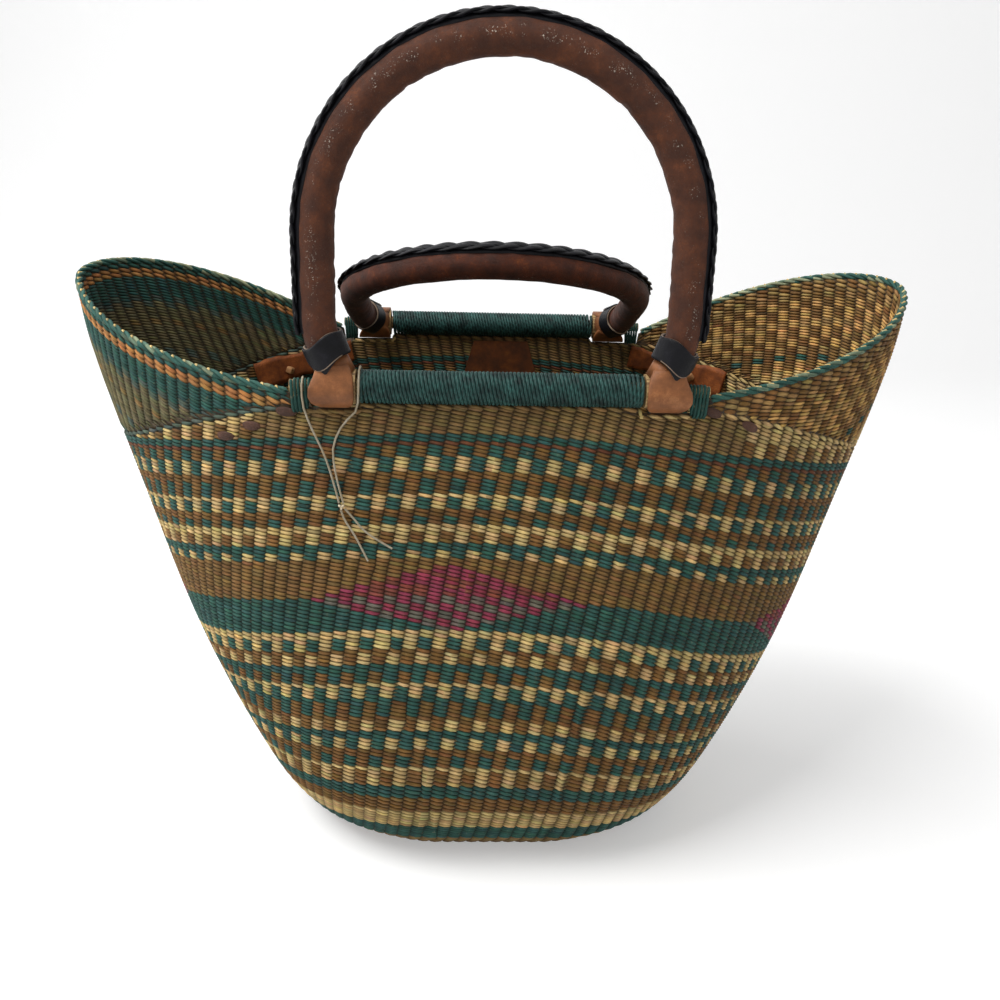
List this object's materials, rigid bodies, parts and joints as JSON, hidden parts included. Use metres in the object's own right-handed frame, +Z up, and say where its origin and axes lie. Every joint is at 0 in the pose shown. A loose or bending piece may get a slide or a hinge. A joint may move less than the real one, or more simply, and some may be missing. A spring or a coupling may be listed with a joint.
{
  "type": "woven basket",
  "caption": "Wide woven grass market basket with raised wings and leather handles that swing on cord-wound rim bars.",
  "frame": {"origin": "centre of the base on the floor", "axes": "+X to the right wing, +Y from the front handle to the rear handle, +Z up"},
  "size_m": [0.5002, 0.247, 0.4845],
  "materials": {
    "woven_grass": "matte twined grass",
    "grass": "matte grass",
    "teal_cord": "matte twisted cord",
    "rim_braid": "matte braid",
    "handle_leather": "satin leather",
    "black_leather": "satin leather",
    "tan_leather": "matte leather",
    "anchor_leather": "satin leather",
    "twine": "matte twine"
  },
  "bodies": {
    "basket": {"base": "woven_grass", "wall": "woven_grass", "left_wing": "woven_grass", "right_wing": "woven_grass", "left_rim_braid": "rim_braid", "right_rim_braid": "rim_braid", "front_bar_core": "grass", "rear_bar_core": "grass", "front_bar_winding": "teal_cord", "rear_bar_winding": "teal_cord", "front_left_anchor": "anchor_leather", "front_right_anchor": "anchor_leather", "rear_left_anchor": "anchor_leather", "rear_right_anchor": "anchor_leather", "label": "anchor_leather", "twine_loop": "twine", "twine_knot": "twine", "twine_short_tail": "twine", "twine_long_tail": "twine"},
    "front_handle": {"front_handle_leather": "handle_leather", "front_handle_core": "grass", "front_handle_braid": "black_leather", "front_handle_left_band": "black_leather", "front_handle_right_band": "black_leather", "front_handle_left_loop": "tan_leather", "front_handle_right_loop": "tan_leather"},
    "rear_handle": {"rear_handle_leather": "handle_leather", "rear_handle_core": "grass", "rear_handle_braid": "black_leather", "rear_handle_left_band": "black_leather", "rear_handle_right_band": "black_leather", "rear_handle_left_loop": "tan_leather", "rear_handle_right_loop": "tan_leather"}
  },
  "joints": [
    {"name": "front_handle_swing", "type": "hinge", "parent": "basket", "child": "front_handle", "pos_m": [0, -0.1125, 0.308], "axis": [1, 0, 0], "range_deg": [-30, 100]},
    {"name": "rear_handle_swing", "type": "hinge", "parent": "basket", "child": "rear_handle", "pos_m": [0, 0.1125, 0.308], "axis": [1, 0, 0], "range_deg": [-170, 6]}
  ]
}
